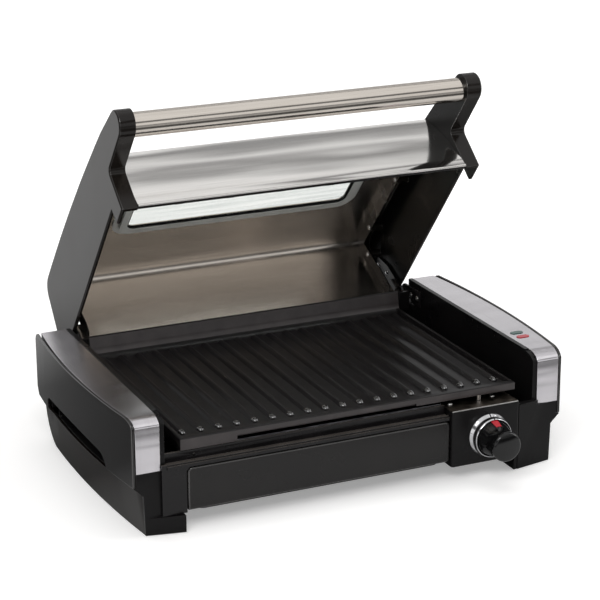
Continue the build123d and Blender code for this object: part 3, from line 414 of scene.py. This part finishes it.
facedFinish = [
    # node, finish, the point its faces look at, axes counted, least cosine
    ("lid_hood", "steelMillPaintedWarmReflection", (0, 0.0293, 0.1694), (0, 1, 1), 0.3),
    ("lid_right_cap", "blackPhenolicPaintedShade", (0, 0, 0), (1, 0, 0), 0.8),
    ("lid_left_cap", "blackPhenolicPaintedShade", (0, 0, 0), (1, 0, 0), 0.8),
    ("grill_plate", "nonstickPaintedSheenFront", (0, -2, 0), (0, 1, 0), 0.8),
    ("sensor_ledge", "zincPlatedSteel", (0, -2, 0), (0, 1, 0), 0.6),
    ("front_frame", "coatedSheetPaintedTopHighlight", (0, 0, 5), (0, 0, 1), 0.9),
]


def finishFacing(node, finish, point, axes, least):
    # faces of an eased copy that look at a point get a second finish, such as the unpolished side of a sheet,
    # a painted highlight on faces turned to the light, or painted shade on faces turned from it
    mesh = copies[node].data
    count = len(mesh.polygons)
    centres = np.empty(count * 3, np.float32)
    normals = np.empty(count * 3, np.float32)
    mesh.polygons.foreach_get("center", centres)
    mesh.polygons.foreach_get("normal", normals)
    towards = (np.array(point) - centres.reshape(-1, 3)) * np.array(axes)
    facing = (towards * normals.reshape(-1, 3)).sum(axis=1) > least * np.linalg.norm(towards, axis=1)
    mesh.materials.append(finishes[finish])
    mesh.polygons.foreach_set("material_index", facing.astype(np.int32) * (len(mesh.materials) - 1))


for faced in facedFinish:
    finishFacing(*faced)
print("second finishes given:", len(facedFinish))


# metres: where the coil stands on the thermostat, how high it is, and how far the pin presses it
pinSpring = {"foot": (0.1266, -0.1330, 0.0533), "height": 0.0078, "stroke": 0.002, "sharpDegrees": 60}


def sprungCopy(look):
    # the coil joined into one smooth-shaded mesh of its own, on the base, in place of the CAD node
    spring = newPiece("pin-spring-coil", mergedMesh("pin_spring", look["sharpDegrees"]))
    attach(spring, "base")
    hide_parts("pin_spring")
    finishOf(spring, "zincPlatedSteel")
    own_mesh(spring)


sprungCopy(pinSpring)
print("spring made")


# rounded noses on the front ends of the plate's ribs, in metres: their middle is given as y and z
ribNose = {
    "count": 19, "pitch": 0.0169, "centre": (-0.1141, 0.0770), "radii": (0.0033, 0.0046, 0.0029),
    "around": 14, "upward": 9,
}


def ribNoses(look):
    # ellipsoid: x = rx cos u cos v, y = ry sin u cos v, z = rz sin v, one at each rib
    u = np.linspace(0, 2 * math.pi, look["around"], endpoint=False)
    v = np.linspace(-math.pi / 2, math.pi / 2, look["upward"] + 1)[1:-1]
    rx, ry, rz = look["radii"]
    belt = np.stack([rx * np.outer(np.cos(v), np.cos(u)), ry * np.outer(np.cos(v), np.sin(u)),
                     rz * np.outer(np.sin(v), np.ones_like(u))], axis=-1).reshape(-1, 3)
    one = np.vstack([belt, [(0, 0, -rz), (0, 0, rz)]])
    # four-sided faces between the rings, then three-sided ones to the lower and the upper pole
    i, j = np.meshgrid(np.arange(len(v) - 1), np.arange(len(u)), indexing="ij")
    across = (j + 1) % len(u)
    quads = np.stack([i * len(u) + j, i * len(u) + across, (i + 1) * len(u) + across,
                      (i + 1) * len(u) + j], axis=-1).reshape(-1, 4)
    step = np.arange(len(u))
    top = (len(v) - 1) * len(u)
    low = np.stack([(step + 1) % len(u), step, np.full_like(step, len(belt))], axis=-1)
    high = np.stack([top + step, top + (step + 1) % len(u), np.full_like(step, len(belt) + 1)], axis=-1)
    y, z = look["centre"]
    places = (np.arange(look["count"]) - (look["count"] - 1) / 2) * look["pitch"]
    points = np.vstack([one + (x, y, z) for x in places])
    shift = np.arange(look["count"])[:, None, None] * len(one)
    faces = [(part[None] + shift).reshape(-1, part.shape[1]).tolist() for part in (quads, low, high)]
    mesh = bpy.data.meshes.new("rib-noses")
    mesh.from_pydata(points.tolist(), [], faces[0] + faces[1] + faces[2])
    mesh.polygons.foreach_set("use_smooth", np.ones(len(mesh.polygons), bool))
    piece = newPiece("rib-noses", mesh)
    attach(piece, "base")
    finishOf(piece, "nonstickPolished")


ribNoses(ribNose)
print("rib noses made")


# chrome collar round the dial, turned with a flared skirt, a step and a rounded lip
collar = {
    # metres: the dial's axis, the middle that depths are counted from, and the width of the gap on top
    "x": 0.1288, "z": 0.0401, "middleY": 0.1416, "notch": 0.0011,
    "steps": 160, "sharpDegrees": 50,
    # mm: radius and depth in front of the pods, from the box to the lip and back along the bore
    "profile": [(20.1, -8.05), (20.1, -8.5), (19.9, -8.9), (18.9, -10.1), (18.1, -11.2), (17.85, -11.7),
                (17.8, -12.2), (17.8, -14.6), (17.85, -14.9), (18.25, -15.2), (18.45, -15.6), (18.5, -16.2),
                (18.4, -17.0), (18.1, -17.7), (17.75, -18.05), (17.45, -18.0), (17.25, -17.7), (17.2, -17.2),
                (17.2, -8.05)],
}


def chromeCollar(look):
    # radius r of each profile point swept round by the angle a: x = r sin a, z = r cos a, with a gap on top
    profile = np.array(look["profile"]) / mmPerM
    gap = look["notch"] / 2 / profile[:, 0].mean()
    angle = np.linspace(gap, 2 * math.pi - gap, look["steps"])
    points = np.empty((len(angle), len(profile), 3))
    points[:, :, 0] = look["x"] + np.sin(angle)[:, None] * profile[None, :, 0]
    points[:, :, 1] = profile[None, :, 1] - look["middleY"]
    points[:, :, 2] = look["z"] + np.cos(angle)[:, None] * profile[None, :, 0]
    rings, ridge = len(angle), len(profile)
    i, j = np.meshgrid(np.arange(rings - 1), np.arange(ridge), indexing="ij")
    corner = i * ridge + j
    nextJ = i * ridge + (j + 1) % ridge
    quads = np.stack([corner, nextJ, nextJ + ridge, corner + ridge], axis=-1).reshape(-1, 4)
    ends = [list(range(ridge))[::-1], list(range((rings - 1) * ridge, rings * ridge))]
    mesh = bpy.data.meshes.new("chrome-collar")
    mesh.from_pydata(points.reshape(-1, 3).tolist(), [], quads.tolist() + ends)
    shape = bmesh.new()
    shape.from_mesh(mesh)
    bmesh.ops.recalc_face_normals(shape, faces=shape.faces)
    for face in shape.faces:
        face.smooth = len(face.verts) == 4  # the two ends at the gap stay flat
    shape.to_mesh(mesh)
    shape.free()
    mesh.set_sharp_from_angle(angle=math.radians(look["sharpDegrees"]))
    piece = newPiece("chrome-collar", mesh)
    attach(piece, "base")
    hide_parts("dial_ring")
    finishOf(piece, "chromePlate")


chromeCollar(collar)
print("chrome collar made")


# the photograph's angle: degrees, metres, and the lens and sensor in mm
cameraView = {
    "azimuth": -24.3588, "elevation": 18.4598, "roll": -0.23625, "distance": 2.017837,
    "target": (0.0514238, 0.0891124, 0.1061621), "lens": 124.489, "sensor": 36, "farthest": 100,
}


def placeCamera(view):
    # the camera's back direction comes from azimuth and elevation; right and up are then rolled a little
    azimuth, elevation, roll = (math.radians(view[k]) for k in ("azimuth", "elevation", "roll"))
    back = Vector((math.sin(azimuth) * math.cos(elevation), -math.cos(azimuth) * math.cos(elevation),
                   math.sin(elevation)))
    right = Vector((math.cos(azimuth), math.sin(azimuth), 0))
    up = back.cross(right)
    turnedRight = math.cos(roll) * right + math.sin(roll) * up
    turnedUp = -math.sin(roll) * right + math.cos(roll) * up
    data = bpy.data.cameras.new("photoCamera")
    data.lens = view["lens"]
    data.sensor_width = view["sensor"]
    data.clip_end = view["farthest"]
    camera = newPiece("photoCamera", data)
    matrix = Matrix((turnedRight, turnedUp, back)).transposed().to_4x4()
    matrix.translation = Vector(view["target"]) + back * view["distance"]
    camera.matrix_world = matrix
    scene.camera = camera


placeCamera(cameraView)
print("camera placed")


studio = {
    "floorSize": 30.0, "floorColour": "#f2f1f0", "floorRough": 0.9,
    # the floor's own glow for the camera, from its middle out to white, and the distances it changes between
    "floorGlow": (0.3, 0.62), "glowReach": (0.35, 1.3),
    # gloss and metal mirror the floor with painted shade, along y from -mirrorReach to mirrorReach metres
    "mirrorReach": 1.0,
    "mirroredFloorPaintedShade": [(0.03, 0.5), (0.08, 0.08), (0.27, 0.08), (0.325, 0.9), (0.44, 0.8), (0.5, 0.2),
                      (0.62, 0.2), (0.76, 0.75), (1.0, 0.9)],
    "worldLevel": 0.5,
    # walls that gloss and metal see, by the height z of the direction; bandStrength doubles the levels, and
    # the two walls blend where the direction's y is within wallBlend
    "bandStrength": 2.0, "wallBlend": 0.15,
    "frontBands": [(0.0, 0.45), (0.3, 0.5), (0.36, 0.1), (0.5, 0.08), (0.58, 0.5), (0.85, 0.5), (1.0, 0.42)],
    "rearBands": [(0.0, 0.34), (0.36, 0.5), (0.47, 0.1), (0.58, 0.24), (0.7, 0.5), (0.76, 0.06), (0.83, 0.5),
                  (1.0, 0.46)],
    "lamps": [
        # name, place, aimed at, width, height, watts, mirrored in gloss
        ("keyBox", (-1.3, -1.5, 2.0), (0, 0, 0.12), 1.4, 1.0, 20.0, True),
        ("topBox", (0.2, 0.3, 2.2), (0, 0, 0.1), 1.8, 1.0, 12.0, False),
        ("sideBox", (2.0, -0.6, 1.1), (0, 0, 0.15), 0.8, 1.2, 8.0, True),
        ("rimBox", (-1.3, 2.2, 0.95), (0, 0, 0.1), 0.5, 0.9, 9.0, False),
        ("sparkBox", (-0.5, -1.5, 1.3), (0, 0, 0.1), 0.2, 0.2, 3.0, True),
    ],
}


def seenRays(tree):
    # the light path, and 1 for what the camera sees straight or through glass
    rays = addNode(tree, "ShaderNodeLightPath")
    seen = addNode(tree, "ShaderNodeMath", {"operation": "MAXIMUM"},
                   {0: rays.outputs["Is Camera Ray"], 1: rays.outputs["Is Transmission Ray"]})
    return rays, seen


def layFloor(look):
    corners = np.array([(-1, -1, 0), (1, -1, 0), (1, 1, 0), (-1, 1, 0)]) * look["floorSize"] / 2
    mesh = bpy.data.meshes.new("floor")
    mesh.from_pydata(corners.tolist(), [], [(0, 1, 2, 3)])
    floor = newPiece("floor", mesh)
    material, tree, shader = newMaterial("whitePaperSweep")
    rays, seen = seenRays(tree)
    # pure white away from the object, its own shadow near it
    place = addNode(tree, "ShaderNodeTexCoord")
    away = addNode(tree, "ShaderNodeVectorMath", {"operation": "LENGTH"}, {0: place.outputs["Object"]})
    level = addNode(tree, "ShaderNodeMapRange",
                    {"From Min": look["glowReach"][0], "From Max": look["glowReach"][1],
                     "To Min": look["floorGlow"][0], "To Max": look["floorGlow"][1]},
                    {"Value": away.outputs["Value"]})
    glow = addNode(tree, "ShaderNodeMath", {"operation": "MULTIPLY"},
                   {0: seen.outputs[0], 1: level.outputs[0]})
    # gloss and metal mirror it with painted shade: dark bands that stand in for shade on the floor, between
    # pale ones
    axes = addNode(tree, "ShaderNodeSeparateXYZ", {}, {"Vector": place.outputs["Object"]})
    depth = addNode(tree, "ShaderNodeMapRange",
                    {"From Min": -look["mirrorReach"], "From Max": look["mirrorReach"]},
                    {"Value": axes.outputs["Y"]})
    mirrored = addNode(tree, "ShaderNodeValToRGB", {"stops": look["mirroredFloorPaintedShade"]},
                       {"Fac": depth.outputs[0]})
    colour = addNode(tree, "ShaderNodeMixRGB", {"Color1": linearOf(look["floorColour"])},
                     {"Fac": rays.outputs["Is Glossy Ray"], "Color2": mirrored.outputs[0]})
    tree.links.new(colour.outputs[0], shader.inputs["Base Color"])
    shader.inputs["Roughness"].default_value = look["floorRough"]
    shader.inputs["Specular IOR Level"].default_value = 0.0
    shader.inputs["Emission Color"].default_value = (1, 1, 1, 1)
    tree.links.new(glow.outputs[0], shader.inputs["Emission Strength"])
    mesh.materials.append(material)


def hangWorld(look):
    world = bpy.data.worlds.new("studioWorld")
    scene.world = world
    world.use_nodes = True
    tree = world.node_tree
    tree.nodes.clear()
    rays, seen = seenRays(tree)
    level = addNode(tree, "ShaderNodeMapRange", {"To Min": look["worldLevel"], "To Max": 1.0},
                    {"Value": seen.outputs[0]})
    even = addNode(tree, "ShaderNodeBackground", {"Color": (1, 1, 1, 1)}, {"Strength": level.outputs[0]})
    # mirrored in metal: one wall behind the camera and one behind the object, pale with dark gaps
    direction = addNode(tree, "ShaderNodeTexCoord")
    axes = addNode(tree, "ShaderNodeSeparateXYZ", {}, {"Vector": direction.outputs["Generated"]})
    front = addNode(tree, "ShaderNodeValToRGB", {"stops": look["frontBands"]}, {"Fac": axes.outputs["Z"]})
    rear = addNode(tree, "ShaderNodeValToRGB", {"stops": look["rearBands"]}, {"Fac": axes.outputs["Z"]})
    side = addNode(tree, "ShaderNodeMapRange",
                   {"From Min": -look["wallBlend"], "From Max": look["wallBlend"]},
                   {"Value": axes.outputs["Y"]})
    walls = addNode(tree, "ShaderNodeMixRGB", {},
                    {"Fac": side.outputs[0], "Color1": front.outputs[0], "Color2": rear.outputs[0]})
    room = addNode(tree, "ShaderNodeBackground", {"Strength": look["bandStrength"]},
                   {"Color": walls.outputs[0]})
    sky = addNode(tree, "ShaderNodeMixShader", {},
                  {"Fac": rays.outputs["Is Glossy Ray"], 1: even.outputs[0], 2: room.outputs[0]})
    addNode(tree, "ShaderNodeOutputWorld", {}, {"Surface": sky.outputs[0]})


def placeLamps(look):
    for name, place, aim, width, height, watts, mirrored in look["lamps"]:
        light = bpy.data.lights.new(name, "AREA")
        light.shape = "RECTANGLE"
        light.size = width
        light.size_y = height
        light.energy = watts
        lamp = newPiece(name, light)
        lamp.location = place
        lamp.visible_glossy = mirrored
        lamp.rotation_euler = (Vector(aim) - Vector(place)).to_track_quat("-Z", "Y").to_euler()


layFloor(studio)
hangWorld(studio)
placeLamps(studio)
print("studio built")
